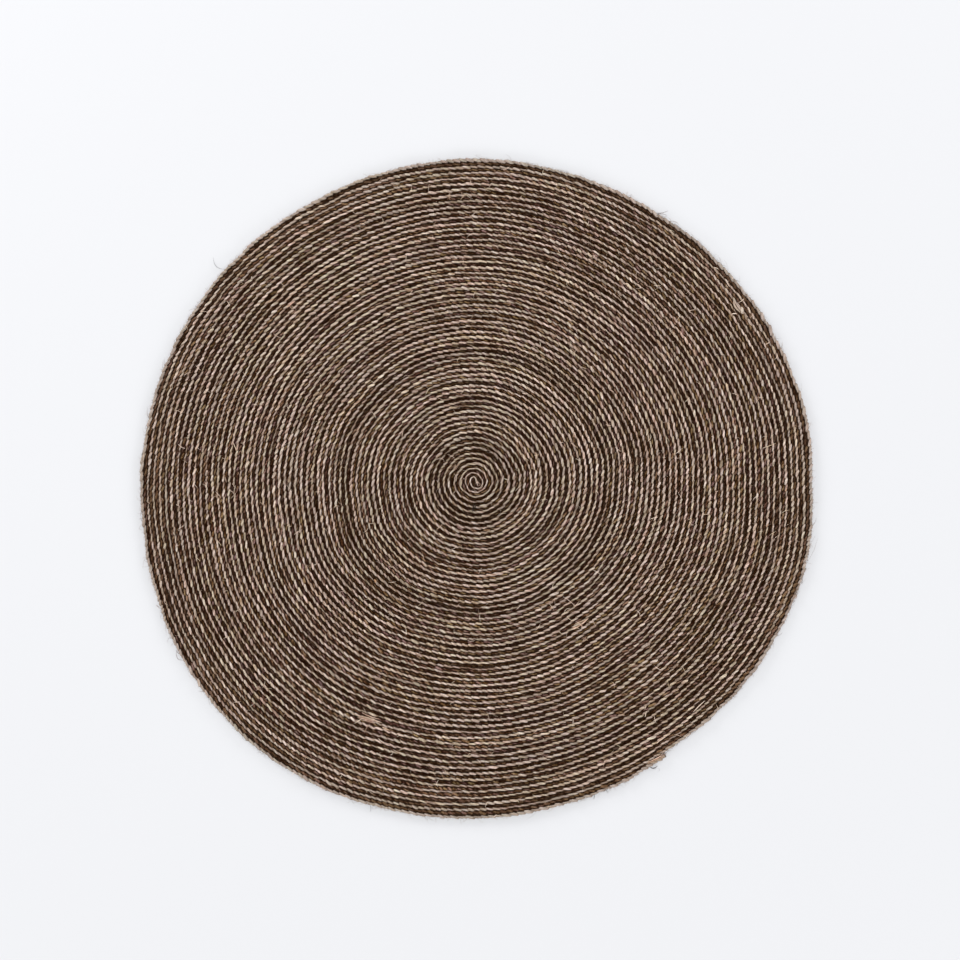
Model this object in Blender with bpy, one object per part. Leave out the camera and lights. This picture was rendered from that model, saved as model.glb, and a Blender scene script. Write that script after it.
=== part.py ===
"""A round jute rug, 1.2 m across: one natural and one dark brown two-ply rope, wound side by side
from the middle into a flat coil and sewn turn to turn.

The rug is one flat solid. Its top follows both ropes as low ribs, its rim follows the outermost
rope, and its underside is flat. Metres, +Z up, with the origin under the middle of the rug's box
and +Y away from the viewer. Seen from above, the ropes run outwards counterclockwise.
"""

from collections import namedtuple
import math

import bmesh
import bpy
from mathutils.geometry import delaunay_2d_cdt

MM = 0.001

# The coil. A turn is counted from the bearing at which the ropes end; bearings run
# counterclockwise from +X.
END_BEARING_DEG = 305.0
FIRST_TURN = 0.083
LAST_TURN = 60.0
COIL_CENTRE = (-3.3 * MM, 10.1 * MM)
PITCH = 9.7 * MM  # one natural and one dark rope side by side, near the middle
PITCH_LAG = 1.8 * MM
PITCH_GAIN = 1.0 * MM  # how much wider the pitch is at the rim
HEART_RADIUS = 6.0 * MM

# The ropes
NATURAL_WIDTH = 4.6 * MM
HEART_WIDTH = 3.2 * MM  # the natural rope, pulled thin where it is wound tightest
HEART_WIDTH_TURNS = (1.6, 3.0)  # where it widens
NATURAL_CREST = 6.0 * MM
DARK_CREST = 5.6 * MM
VALLEY = 4.2 * MM
RIM_HEIGHT = 2.8 * MM  # where the outermost rope is widest
RIM_UNDERCUT = 1.2 * MM

# The last stretch of rope is drawn in against the turn inside it.
TUCK = 3.0 * MM
TUCK_TURNS = 0.03
DARK_END_GAP_TURNS = 0.012
NATURAL_END_GAP_TURNS = 0.002

# Straight chords to a turn: more of them further out. Lines of one band share their bearings, so
# their chords run side by side.
Band = namedtuple("Band", "last_turn chords")
BANDS = [Band(10, 12), Band(17, 16), Band(24, 20), Band(37, 24), Band(60, 32)]
RIM_CHORDS = 96
SHORTEST_CHORD = 0.3  # of a full one, where a line ends
CLOSEST_POINTS = 0.0001 * MM
SOFTEST_EDGE_DEG = 85  # sharper edges than this are drawn as creases

NATURAL_COLOUR = (0.40, 0.31, 0.235, 1.0)
DARK_COLOUR = (0.045, 0.026, 0.016, 1.0)

# The two innermost loops, wound by hand and uneven: the natural rope's distance from the middle.
Loop = namedtuple("Loop", "turn radius_mm")
NATURAL_HEART = [
    Loop(0.08, 6.2),
    Loop(0.27, 6.1),
    Loop(0.37, 10.3),
    Loop(0.43, 12.4),
    Loop(0.50, 11.3),
    Loop(0.57, 8.8),
    Loop(0.76, 7.6),
    Loop(0.88, 8.3),
    Loop(0.97, 11.5),
    Loop(1.09, 14.6),
    Loop(1.30, 15.2),
    Loop(1.40, 17.9),
    Loop(1.49, 19.6),
    Loop(1.60, 17.0),
    Loop(1.72, 14.8),
    Loop(1.92, 16.6),
    Loop(2.08, 20.2),
    Loop(2.20, 23.4),
    Loop(2.40, 26.4),
]
DARK_HEART = [
    Loop(0.43, 8.2),
    Loop(0.48, 4.2),
    Loop(0.65, 1.8),
    Loop(0.80, 2.4),
    Loop(0.92, 4.6),
    Loop(1.02, 8.6),
    Loop(1.12, 10.5),
    Loop(1.32, 12.3),
]
HEART_BLEND = (2.1, 2.5)  # turns over which the loops above pass into the even spiral

# How far a turn strays outwards from the even spiral, near the middle of the coil, near turn 30
# and at the rim.
Stray = namedtuple("Stray", "bearing_deg heart_mm middle_mm edge_mm")
STRAYS = [
    Stray(0, 2, 8, 13),
    Stray(12, 2, 11, 14),
    Stray(30, 1, 5, 4),
    Stray(48, 2, -1, -6),
    Stray(66, 3, -2, -13),
    Stray(90, 4, -4, -14),
    Stray(118, 4, -3, -15),
    Stray(142, 2, -2, -7),
    Stray(156, 2, 3, -4),
    Stray(178, 2, 4, 1),
    Stray(192, 1, 4, 4),
    Stray(206, -1, 9, 11),
    Stray(222, -2, 4, 15),
    Stray(238, -3, -1, 14),
    Stray(258, -2, -9, 5),
    Stray(280, -2, -7, -2),
    Stray(300, -1, -7, 0),
    Stray(308, -1, -7, 3),
    Stray(318, 0, -3, 8),
    Stray(332, 0, 2, 15),
    Stray(346, 1, 7, 21),
]
STRAY_HEART_TURN = 2.0
STRAY_MIDDLE_TURN = 30.0
STRAY_EDGE_TURN = 59.0


def between(x, knots):
    """A smooth curve through (x, y) knots, by cubic pieces with each knot's mean slope."""
    last = len(knots) - 1
    if x <= knots[0][0]:
        return knots[0][1]
    if x >= knots[last][0]:
        return knots[last][1]
    i = next(k for k in range(last) if x <= knots[k + 1][0])
    (x0, y0), (x1, y1) = knots[i], knots[i + 1]
    before, after = knots[max(i - 1, 0)], knots[min(i + 2, last)]
    width = x1 - x0
    slope0 = (y1 - before[1]) / (x1 - before[0]) * width
    slope1 = (after[1] - y0) / (after[0] - x0) * width
    t = (x - x0) / width
    return (
        (2 * t**3 - 3 * t**2 + 1) * y0
        + (t**3 - 2 * t**2 + t) * slope0
        + (3 * t**2 - 2 * t**3) * y1
        + (t**3 - t**2) * slope1
    )


def round_the_circle(column):
    """The strays' column as knots that run past both ends of the circle."""
    rows = [(row.bearing_deg, getattr(row, column) * MM) for row in STRAYS]
    return (
        [(bearing - 360, value) for bearing, value in rows[-2:]]
        + rows
        + [(bearing + 360, value) for bearing, value in rows[:3]]
    )


HEART_STRAY = round_the_circle("heart_mm")
MIDDLE_STRAY = round_the_circle("middle_mm")
EDGE_STRAY = round_the_circle("edge_mm")


def bearing_of(turn):
    return math.radians(END_BEARING_DEG + 360 * turn)


def ramp(x, start, end):
    """0 before start and 1 after end, with an even slope between."""
    return min(max((x - start) / (end - start), 0.0), 1.0)


def mix(share, first, second):
    return (1 - share) * first + share * second


def stray(turn):
    bearing = (END_BEARING_DEG + 360 * turn) % 360
    inner = mix(
        ramp(turn, STRAY_HEART_TURN, STRAY_MIDDLE_TURN),
        between(bearing, HEART_STRAY),
        between(bearing, MIDDLE_STRAY),
    )
    return mix(
        ramp(turn, STRAY_MIDDLE_TURN, STRAY_EDGE_TURN), inner, between(bearing, EDGE_STRAY)
    )


def spiral_radius(turn):
    even = math.hypot(PITCH * turn - PITCH_LAG, HEART_RADIUS)
    even += PITCH_GAIN * turn**3 / (3 * LAST_TURN**2)
    tuck = TUCK * ramp(turn, LAST_TURN - TUCK_TURNS, LAST_TURN)
    return even + stray(turn) - tuck


def natural_radius(turn):
    if turn >= HEART_BLEND[1]:
        return spiral_radius(turn)
    heart = between(turn, NATURAL_HEART) * MM
    return mix(ramp(turn, *HEART_BLEND), heart, spiral_radius(turn))


def natural_width(turn):
    return mix(ramp(turn, *HEART_WIDTH_TURNS), HEART_WIDTH, NATURAL_WIDTH)


def inner_valley(turn):
    return natural_radius(turn) - natural_width(turn) / 2


def outer_valley(turn):
    return natural_radius(turn) + natural_width(turn) / 2


def dark_radius(turn):
    """The dark rope lies just inside the natural rope of the same turn."""
    if turn < DARK_HEART[-1].turn:
        return between(turn, DARK_HEART) * MM
    return (outer_valley(turn - 1) + inner_valley(turn)) / 2


def stations(start, end, chords=None):
    """The turns at which a line from start to end gets a point."""
    turns = [start]
    for band in BANDS:
        per_turn = chords or band.chords
        following = (math.floor(turns[-1] * per_turn) + 1) / per_turn
        while following < min(end - SHORTEST_CHORD / per_turn, band.last_turn):
            turns.append(following)
            following = (round(following * per_turn) + 1) / per_turn
    return turns + [end]


def plan_point(turn, radius):
    bearing = bearing_of(turn)
    return (
        COIL_CENTRE[0] + radius * math.cos(bearing),
        COIL_CENTRE[1] + radius * math.sin(bearing),
    )


def rope_lines():
    """The plan's lines as (height, turns, radius function): open, none crossing, the rim last."""
    last_valley = LAST_TURN - 1
    dark_end = LAST_TURN - DARK_END_GAP_TURNS
    natural_end = LAST_TURN - NATURAL_END_GAP_TURNS
    return [
        (NATURAL_CREST, stations(FIRST_TURN, natural_end), natural_radius),
        (DARK_CREST, stations(DARK_HEART[0].turn, dark_end), dark_radius),
        (VALLEY, stations(FIRST_TURN, dark_end), inner_valley),
        (VALLEY, stations(FIRST_TURN, last_valley), outer_valley),
        (RIM_HEIGHT, stations(last_valley, LAST_TURN, RIM_CHORDS), outer_valley),
    ]


def ribbed_top(mesh):
    """The top's faces, triangulated in plan between the ropes' lines, then lifted to heights."""
    points, heights, edges = [], [], []
    for height, turns, radius in rope_lines():
        first = len(points)
        for turn in turns:
            points.append(plan_point(turn, radius(turn)))
            heights.append(height)
        edges += [(i, i + 1) for i in range(first, len(points) - 1)]
    edges.append((len(points) - 1, first))  # across the ropes' ends, which closes the rim
    inside_only = 1
    plan, _, triangles, sources, _, _ = delaunay_2d_cdt(
        points, edges, [], inside_only, CLOSEST_POINTS
    )
    corners = [
        mesh.verts.new((*xy, max(heights[i] for i in source)))
        for xy, source in zip(plan, sources)
    ]
    for triangle in triangles:
        mesh.faces.new([corners[i] for i in triangle])


def close_below(mesh):
    """The rim's wall down to the floor, drawn in under the rope, and the flat underside."""
    rim = [edge for edge in mesh.edges if edge.is_boundary]
    wall = bmesh.ops.extrude_edge_only(mesh, edges=rim)["geom"]
    for vert in (item for item in wall if isinstance(item, bmesh.types.BMVert)):
        inward = math.hypot(vert.co.x - COIL_CENTRE[0], vert.co.y - COIL_CENTRE[1])
        share = 1 - RIM_UNDERCUT / inward
        vert.co.x = COIL_CENTRE[0] + share * (vert.co.x - COIL_CENTRE[0])
        vert.co.y = COIL_CENTRE[1] + share * (vert.co.y - COIL_CENTRE[1])
        vert.co.z = 0.0
    floor = [edge for edge in mesh.edges if edge.is_boundary]
    bmesh.ops.contextual_create(mesh, geom=floor)


def jute(name, colour):
    material = bpy.data.materials.new(name)
    material.use_nodes = True
    shader = material.node_tree.nodes["Principled BSDF"]
    shader.inputs["Base Color"].default_value = colour
    shader.inputs["Roughness"].default_value = 0.9
    shader.inputs["Metallic"].default_value = 0.0
    material.diffuse_color = colour
    return material


def build_rug(collection):
    mesh = bmesh.new()
    ribbed_top(mesh)
    close_below(mesh)
    bmesh.ops.recalc_face_normals(mesh, faces=mesh.faces)
    data = bpy.data.meshes.new("rope_coil")
    mesh.to_mesh(data)
    mesh.free()
    data.materials.append(jute("natural_jute", NATURAL_COLOUR))
    data.materials.append(jute("dark_jute", DARK_COLOUR))
    for face in data.polygons:
        top = max(data.vertices[i].co.z for i in face.vertices)
        face.material_index = int(VALLEY < top < (DARK_CREST + NATURAL_CREST) / 2)
    data.shade_smooth()
    data.set_sharp_from_angle(angle=math.radians(SOFTEST_EDGE_DEG))
    rug = bpy.data.objects.new("rope_coil", data)
    collection.objects.link(rug)
    return rug


for old in list(bpy.data.objects):
    bpy.data.objects.remove(old)
rug_collection = bpy.data.collections.new("round_jute_rug")
bpy.context.scene.collection.children.link(rug_collection)
build_rug(rug_collection)
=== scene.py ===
"""The looks of a round jute rug, 1.2 m across: a natural and a dark brown jute rope, each twisted
from two plies, wound side by side from the middle into a flat coil and sewn turn to turn.

Each ply is a closed tube that follows its rope's spiral and twists round its twin. Between the
ropes lies the thin web of sewing and pressed fibres that holds the turns together. Loose fibres
lie on the ropes and stand out from the rim. Metres, +Z up, +Y away from the viewer.
"""

from collections import namedtuple
import math

import bpy
import numpy as np
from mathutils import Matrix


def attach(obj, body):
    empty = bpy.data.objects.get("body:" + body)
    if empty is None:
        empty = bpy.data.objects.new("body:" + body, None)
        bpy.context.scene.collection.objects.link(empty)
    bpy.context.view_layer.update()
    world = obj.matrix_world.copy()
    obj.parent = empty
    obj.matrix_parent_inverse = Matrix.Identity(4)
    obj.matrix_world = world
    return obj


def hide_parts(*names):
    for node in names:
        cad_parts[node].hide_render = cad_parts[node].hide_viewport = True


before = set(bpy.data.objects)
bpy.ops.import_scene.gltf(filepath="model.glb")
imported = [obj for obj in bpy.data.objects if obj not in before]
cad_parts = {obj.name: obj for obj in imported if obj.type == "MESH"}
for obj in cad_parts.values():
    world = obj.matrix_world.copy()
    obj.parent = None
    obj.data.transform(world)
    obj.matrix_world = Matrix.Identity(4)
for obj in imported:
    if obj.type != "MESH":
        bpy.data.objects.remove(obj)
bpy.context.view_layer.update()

MM = 0.001

# ---- The coil ----
# It follows the solid's ribs, but the last turn is slacker, and the natural rope's end is drawn in
# further and spread, with the dark rope's end right beside it.
# Turns are counted from the bearing at which the ropes end; bearings run counterclockwise from +X.
END_BEARING_DEG = 305.0
FIRST_TURN = 0.083
LAST_TURN = 60.0
COIL_CENTRE = (-3.3 * MM, 10.1 * MM)
PITCH = 9.7 * MM  # one natural and one dark rope side by side, near the middle
PITCH_LAG = 1.8 * MM  # how far the first turns, wound tightest, fall behind the pitch
PITCH_GAIN = 1.0 * MM  # how much wider the pitch is at the rim
HEART_RADIUS = 6.0 * MM
HEART_BLEND = (2.1, 2.5)  # turns over which the two hand-wound loops pass into the even spiral
NATURAL_WIDTH = 4.8 * MM
HEART_WIDTH = 2.8 * MM  # the natural rope, pulled thin where it is wound tightest
HEART_DARK_WIDTH = 4.1 * MM
HEART_WIDTH_TURNS = (1.6, 6.5)  # turns over which both ropes come to their full width
DARK_LEAST_WIDTH = 3.0 * MM  # the dark rope, where the natural one's end closes over it
DARK_END_GAP_TURNS = 0.002  # how much sooner the dark rope ends
TUCK = 6.2 * MM  # how far the natural rope's end is drawn in against the turn inside it
TUCK_TURNS = 0.021
END_SPREAD = 2.2 * MM  # how much wider the natural rope's opened end is
END_SPREAD_TURNS = 0.010
RIM_SPREAD = 0.9 * MM  # the outermost natural turn is wider, with nothing pressing it from outside
RIM_SLACK = 0.8 * MM  # and it is sewn on less tightly
RIM_BLEND = (59.0, 59.04)

# The heart's loops: turn and radius in millimetres.
NATURAL_HEART = [
    (0.08, 6.2), (0.27, 6.1), (0.37, 10.3), (0.43, 12.4), (0.50, 11.3), (0.57, 8.8), (0.76, 7.6),
    (0.88, 8.3), (0.97, 11.5), (1.09, 14.6), (1.30, 15.2), (1.40, 17.9), (1.49, 19.6), (1.60, 17.0),
    (1.72, 14.8), (1.92, 16.6), (2.08, 20.2), (2.20, 23.4), (2.40, 26.4),
]
DARK_HEART = [
    (0.43, 8.2), (0.48, 4.2), (0.65, 1.8), (0.80, 2.4), (0.92, 4.6), (1.02, 8.6), (1.12, 10.5),
    (1.32, 12.3),
]
DARK_HEART_TURNS = (DARK_HEART[0][0], DARK_HEART[-1][0])

# How far a turn strays outwards from the even spiral: bearing in degrees, and the stray in
# millimetres in the heart, halfway out and at the edge.
STRAYS = [
    (0, 2, 8, 13), (12, 2, 11, 14), (30, 1, 5, 4), (48, 2, -1, -6), (66, 3, -2, -13),
    (90, 4, -4, -14), (118, 4, -3, -15), (142, 2, -2, -7), (156, 2, 3, -4), (178, 2, 4, 1),
    (192, 1, 4, 4), (206, -1, 9, 11), (222, -2, 4, 15), (238, -3, -1, 14), (258, -2, -9, 5),
    (280, -2, -7, -2), (300, -1, -7, 0), (308, -1, -7, 3), (318, 0, -3, 8), (332, 0, 2, 15),
    (346, 1, 7, 21),
]
STRAY_TURNS = (2.0, 30.0, 59.0)  # at which the three columns hold


def between(x, knots):
    """A smooth curve through (x, y) knots, by cubic pieces with each knot's mean slope."""
    places, values = (np.array(column, float) for column in zip(*knots))
    last = len(places) - 1
    i = np.clip(np.searchsorted(places, x) - 1, 0, last - 1)
    before = np.maximum(i - 1, 0)
    after = np.minimum(i + 2, last)
    width = places[i + 1] - places[i]
    slope0 = (values[i + 1] - values[before]) / (places[i + 1] - places[before]) * width
    slope1 = (values[after] - values[i]) / (places[after] - places[i]) * width
    t = np.clip((x - places[i]) / width, 0.0, 1.0)
    return (
        (2 * t**3 - 3 * t**2 + 1) * values[i]
        + (t**3 - 2 * t**2 + t) * slope0
        + (3 * t**2 - 2 * t**3) * values[i + 1]
        + (t**3 - t**2) * slope1
    )


def round_the_circle(column):
    """A column of the strays, as knots that run past both ends of the circle."""
    rows = [(row[0], row[column] * MM) for row in STRAYS]
    before = [(bearing - 360, value) for bearing, value in rows[-2:]]
    after = [(bearing + 360, value) for bearing, value in rows[:3]]
    return before + rows + after


STRAY_KNOTS = [round_the_circle(column) for column in (1, 2, 3)]


def bearing_of(turn):
    return np.radians(END_BEARING_DEG + 360 * turn)


def ramp(x, start, end):
    """0 before start and 1 after end, with an even slope between."""
    return np.clip((x - start) / (end - start), 0.0, 1.0)


def mix(share, first, second):
    return (1 - share) * first + share * second


def stray(turn):
    """How far the turn strays at its bearing, between the strays' three columns."""
    bearing = (END_BEARING_DEG + 360 * turn) % 360
    heart, middle, edge = (between(bearing, knots) for knots in STRAY_KNOTS)
    inner = mix(ramp(turn, *STRAY_TURNS[:2]), heart, middle)
    return mix(ramp(turn, *STRAY_TURNS[1:]), inner, edge)


def spiral_radius(turn):
    """The natural rope's radius beyond the heart, with its tucked end and its loose last turn."""
    even = np.hypot(PITCH * turn - PITCH_LAG, HEART_RADIUS)
    even = even + PITCH_GAIN * turn**3 / (3 * LAST_TURN**2)
    tuck = TUCK * ramp(turn, LAST_TURN - TUCK_TURNS, LAST_TURN)
    rim = (RIM_SPREAD / 2 + RIM_SLACK) * ramp(turn, *RIM_BLEND)
    return even + stray(turn) - tuck + rim


def natural_radius(turn):
    """From the coil's centre to the natural rope's axis."""
    heart = between(turn, NATURAL_HEART) * MM
    return mix(ramp(turn, *HEART_BLEND), heart, spiral_radius(turn))


def natural_width(turn):
    width = mix(ramp(turn, *HEART_WIDTH_TURNS), HEART_WIDTH, NATURAL_WIDTH)
    width = width + RIM_SPREAD * ramp(turn, *RIM_BLEND)
    return width + END_SPREAD * ramp(turn, LAST_TURN - END_SPREAD_TURNS, LAST_TURN)


def inner_valley(turn):
    return natural_radius(turn) - natural_width(turn) / 2


def outer_valley(turn):
    return natural_radius(turn) + natural_width(turn) / 2


def dark_radius(turn):
    """The dark rope lies just inside the natural rope of the same turn."""
    heart = between(turn, DARK_HEART) * MM
    outside = (outer_valley(turn - 1) + inner_valley(turn)) / 2
    return np.where(turn < DARK_HEART_TURNS[1], heart, outside)


def dark_width(turn):
    """The space left between the natural turns, on average, and less where both are pulled thin."""
    space = inner_valley(turn) - outer_valley(turn - 1)
    return mix(ramp(turn, *HEART_WIDTH_TURNS), HEART_DARK_WIDTH, np.maximum(space, DARK_LEAST_WIDTH))


# ---- The ropes ----
Rope = namedtuple(
    "Rope", "name slot radius width first_turn last_turn lay half_height axis_height press seed"
)
NATURAL = Rope(
    name="natural_rope",
    slot="natural_jute",
    radius=natural_radius,
    width=natural_width,
    first_turn=FIRST_TURN,
    last_turn=LAST_TURN,
    lay=25.6 * MM,  # the length of one twist
    half_height=2.95 * MM,
    axis_height=3.05 * MM,
    press=1.20,  # how far the plies bulge over their neighbours, where they are pressed together
    seed=11,
)
DARK = Rope(
    name="dark_rope",
    slot="dark_jute",
    radius=dark_radius,
    width=dark_width,
    first_turn=DARK_HEART_TURNS[0],
    last_turn=LAST_TURN - DARK_END_GAP_TURNS,
    lay=24.5 * MM,
    half_height=2.75 * MM,
    axis_height=2.85 * MM,
    press=1.06,
    seed=12,
)
PLIES = 2
STATIONS_PER_TURN = 720
SPLIT_TURN = 43.0  # each ply is an inner and an outer piece, of like lengths
RING_PHASES_DEG = (-90, -45, 0, 45, 90, 180)  # rings of a ply per lay, from the top; closer above
END_CLEARANCE_RAD = 0.2  # no ring is closer than this to the ring that ends a ply
# A ply's corners: shares of the rope's half size, outwards from the rope's axis and along its
# rim, and the corner's place round the ply.
Corner = namedtuple("Corner", "outwards aside around")
SECTION = [
    Corner(-0.08, 0.0, 0.0),
    Corner(0.15, 0.74, 0.3),
    Corner(1.04, 0.0, 0.5),
    Corner(0.15, -0.74, 0.7),
]
# Unevenness: the share of the size or the distance, and the length over which it changes. The
# random values under it stay within the limit.
Drift = namedtuple("Drift", "amount reach")
DRIFT_LIMIT = 2
LAY_DRIFTS = [Drift(0.10, 150 * MM), Drift(0.14, 30 * MM)]
THICKNESS_DRIFTS = [Drift(0.08, 180 * MM), Drift(0.12, 45 * MM), Drift(0.16, 14 * MM)]
SIDE_DRIFTS = [Drift(0.40 * MM, 9 * MM), Drift(0.60 * MM, 22 * MM), Drift(0.45 * MM, 60 * MM)]
RISE_DRIFTS = [Drift(0.25 * MM, 20 * MM), Drift(0.15 * MM, 150 * MM)]
# Lumps, where new fibre was spun into a rope. The first is at the splice near the rim. Those at
# random are spread evenly over the coil's area.
Lump = namedtuple("Lump", "turn swelling half_length_mm")
NATURAL_LUMPS = [
    Lump(57.2435, 0.5, 12.0),
    Lump(44.74, 0.35, 11.0),
    Lump(3.811, 0.3, 7.0),
    Lump(5.152, 0.25, 7.0),
    Lump(5.201, 0.3, 6.0),
    Lump(7.096, 0.25, 7.0),
    Lump(7.986, 0.3, 6.0),
    Lump(9.051, 0.3, 6.0),
]
LUMPS_AT_RANDOM = 70
LUMP_AREA_SHARES = (0.002, 0.998)
LUMP_SWELLING = (0.15, 0.38)
LUMP_HALF_LENGTH_MM = (3.5, 8.0)


def drift(length, drifts, random):
    """Uneven values along a rope: straight lines between random values at even steps."""
    total = np.zeros_like(length)
    for amount, reach in drifts:
        knots = np.arange(0.0, length[-1] + 2 * reach, reach)
        values = random.normal(size=len(knots)).clip(-DRIFT_LIMIT, DRIFT_LIMIT)
        total += amount * np.interp(length, knots, values)
    return total


class Route:
    """A rope's centreline in plan, with its length, direction and twist at each station."""

    def __init__(self, rope):
        random = np.random.default_rng(rope.seed)
        self.rope = rope
        steps = math.ceil((rope.last_turn - rope.first_turn) * STATIONS_PER_TURN)
        self.turn = np.linspace(rope.first_turn, rope.last_turn, steps + 1)
        radius = rope.radius(self.turn)
        bearing = bearing_of(self.turn)
        self.x = COIL_CENTRE[0] + radius * np.cos(bearing)
        self.y = COIL_CENTRE[1] + radius * np.sin(bearing)
        chords = np.hypot(np.diff(self.x), np.diff(self.y))
        self.length = np.concatenate(([0.0], np.cumsum(chords)))
        lay = rope.lay * (1 + drift(self.length, LAY_DRIFTS, random))
        twist = np.diff(self.length) / (lay[1:] + lay[:-1]) * 2
        self.phase = 2 * math.pi * np.concatenate(([0.0], np.cumsum(twist)))
        along_x, along_y = np.gradient(self.x), np.gradient(self.y)
        size = np.hypot(along_x, along_y)
        self.along_x, self.along_y = along_x / size, along_y / size
        self.half_width = rope.width(self.turn) / 2
        self.side = drift(self.length, SIDE_DRIFTS, random)
        self.rise = drift(self.length, RISE_DRIFTS, random)
        self.thickness = [1 + drift(self.length, THICKNESS_DRIFTS, random) for _ in range(PLIES)]
        self.add_lumps(random)

    def add_lumps(self, random):
        lumps = list(NATURAL_LUMPS) if self.rope is NATURAL else []
        for _ in range(LUMPS_AT_RANDOM):
            turn = LAST_TURN * math.sqrt(random.uniform(*LUMP_AREA_SHARES))
            swelling = random.uniform(*LUMP_SWELLING)
            lumps.append(Lump(turn, swelling, random.uniform(*LUMP_HALF_LENGTH_MM)))
        for lump in lumps:
            middle = np.interp(lump.turn, self.turn, self.length)
            away = (self.length - middle) / (lump.half_length_mm * MM)
            for thickness in self.thickness:
                thickness += lump.swelling * np.exp(-(away**2))

    def at(self, length, name):
        return np.interp(length, self.length, getattr(self, name))


def ply_rings(route, ply, first_turn, last_turn):
    """Rings x corners x 3 of a ply between two turns, and each ring's length along the rope."""
    offset = 2 * math.pi * ply / PLIES
    ends = np.interp((first_turn, last_turn), route.turn, route.length)
    phases = np.interp(ends, route.length, route.phase) + offset
    lays = np.arange(math.floor(phases[0] / (2 * math.pi)), math.ceil(phases[1] / (2 * math.pi)) + 1)
    stops = np.add.outer(2 * math.pi * lays, np.radians(RING_PHASES_DEG)).ravel()
    stops.sort()
    inside = (stops > phases[0] + END_CLEARANCE_RAD) & (stops < phases[1] - END_CLEARANCE_RAD)
    stops = np.concatenate((phases[:1], stops[inside], phases[1:]))
    length = np.interp(stops - offset, route.phase, route.length)
    out_x, out_y = route.at(length, "along_y"), -route.at(length, "along_x")
    thickness = np.interp(length, route.length, route.thickness[ply])
    half_width = route.at(length, "half_width") * route.rope.press
    side, rise = route.at(length, "side"), route.at(length, "rise")
    rings = np.empty((len(length), len(SECTION), 3))
    for k, corner in enumerate(SECTION):
        outwards = thickness * corner.outwards
        aside = thickness * corner.aside
        across = side + half_width * (outwards * np.sin(stops) + aside * np.cos(stops))
        up = outwards * np.cos(stops) - aside * np.sin(stops)
        rings[:, k, 0] = route.at(length, "x") + across * out_x
        rings[:, k, 1] = route.at(length, "y") + across * out_y
        rings[:, k, 2] = route.rope.axis_height + rise + route.rope.half_height * up
    rings[:, :, 2] = rings[:, :, 2].clip(0.0)
    return rings, length


# ---- Meshes from arrays ----
ROPE_MAP = "rope"  # metres along the rope, and the place round the ply
BAKE_MAP = "OFBake"  # every face in a place of its own
CELL_SHAPE = 0.45  # the width of a cell of the bake map, as a share of its height
CELL_FILL = 0.86  # of a row's height, so that rows stay apart
CAP_RADIUS = 0.4  # of a cell


def add_object(name, data):
    made = bpy.data.objects.new(name, data)
    bpy.context.scene.collection.objects.link(made)
    return made


def add_map(mesh, name, walls, caps):
    """A UV map from the walls' and the caps' (u, v), in the order of the mesh's corners."""
    u, v = (np.concatenate([part.ravel() for part in parts]) for parts in zip(walls, caps))
    layer = mesh.uv_layers.new(name=name)
    layer.uv.foreach_set("vector", np.column_stack((u, v)).astype(np.float32).ravel())


def wall_corners(shape, near, far, low, high):
    """(u, v) at each wall's four corners: near and far along its tube, low and high round it."""
    u = np.empty((*shape, 4))
    u[..., 0] = u[..., 3] = near
    u[..., 1] = u[..., 2] = far
    v = np.empty((*shape, 4))
    v[..., 0] = v[..., 1] = low
    v[..., 2] = v[..., 3] = high
    return u, v


def add_rope_map(mesh, shape, along, around):
    walls = wall_corners(shape, along[:, :-1, None], along[:, 1:, None], around[:-1], around[1:])
    ends = np.concatenate((along[:, 0], along[:, -1]))
    add_map(mesh, ROPE_MAP, walls, np.broadcast_arrays(ends[:, None], around[:-1]))


def add_bake_map(mesh, shape, around):
    """Cells fill rows in order. A tube's first cap, segments and last cap have a cell each."""
    count, segments, sides = shape
    cells = np.arange(count * (segments + 2)).reshape(count, segments + 2)
    per_row = math.ceil(math.sqrt(cells.size / CELL_SHAPE))
    rows = math.ceil(cells.size / per_row)
    left, low = (cells % per_row) / per_row, (cells // per_row) / rows
    width, height = 1 / per_row, CELL_FILL / rows
    near, foot = left[:, 1:-1, None], low[:, 1:-1, None]
    rise = height * (around - around[0]) / (around[-1] - around[0])
    walls = wall_corners(shape, near, near + width, foot + rise[:-1], foot + rise[1:])
    circle = 2 * math.pi * np.arange(sides) / sides
    cap_left, cap_low = (np.concatenate((at[:, 0], at[:, -1]))[:, None] for at in (left, low))
    cap_u = cap_left + width * (0.5 + CAP_RADIUS * np.cos(circle))
    cap_v = cap_low + height * (0.5 + CAP_RADIUS * np.sin(circle))
    add_map(mesh, BAKE_MAP, walls, (cap_u, cap_v))


def tubes(name, rings, along, around, material):
    """Closed tubes as one piece. rings is tubes x stations x sides x 3, along is tubes x stations
    and around has a value for each side and one more."""
    count, stations, sides, _ = rings.shape
    index = np.arange(count * stations * sides).reshape(count, stations, sides)
    near, far = index[:, :-1], index[:, 1:]
    walls = np.stack((near, far, np.roll(far, -1, 2), np.roll(near, -1, 2)), axis=-1).reshape(-1, 4)
    caps = np.concatenate((index[:, 0], index[:, -1, ::-1]))
    corners = np.concatenate((walls.ravel(), caps.ravel()))
    cap_starts = walls.size + sides * np.arange(len(caps))
    starts = np.concatenate((4 * np.arange(len(walls)), cap_starts))
    mesh = bpy.data.meshes.new(name)
    mesh.vertices.add(count * stations * sides)
    mesh.vertices.foreach_set("co", rings.astype(np.float32).ravel())
    mesh.loops.add(len(corners))
    mesh.loops.foreach_set("vertex_index", corners.astype(np.int32))
    mesh.polygons.add(len(starts))
    mesh.polygons.foreach_set("loop_start", starts.astype(np.int32))
    mesh.update(calc_edges=True)
    mesh.shade_smooth()
    shape = (count, stations - 1, sides)
    around = np.array(around)
    add_rope_map(mesh, shape, along, around)
    add_bake_map(mesh, shape, around)
    mesh.materials.append(material)
    return add_object(name, mesh)


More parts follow.
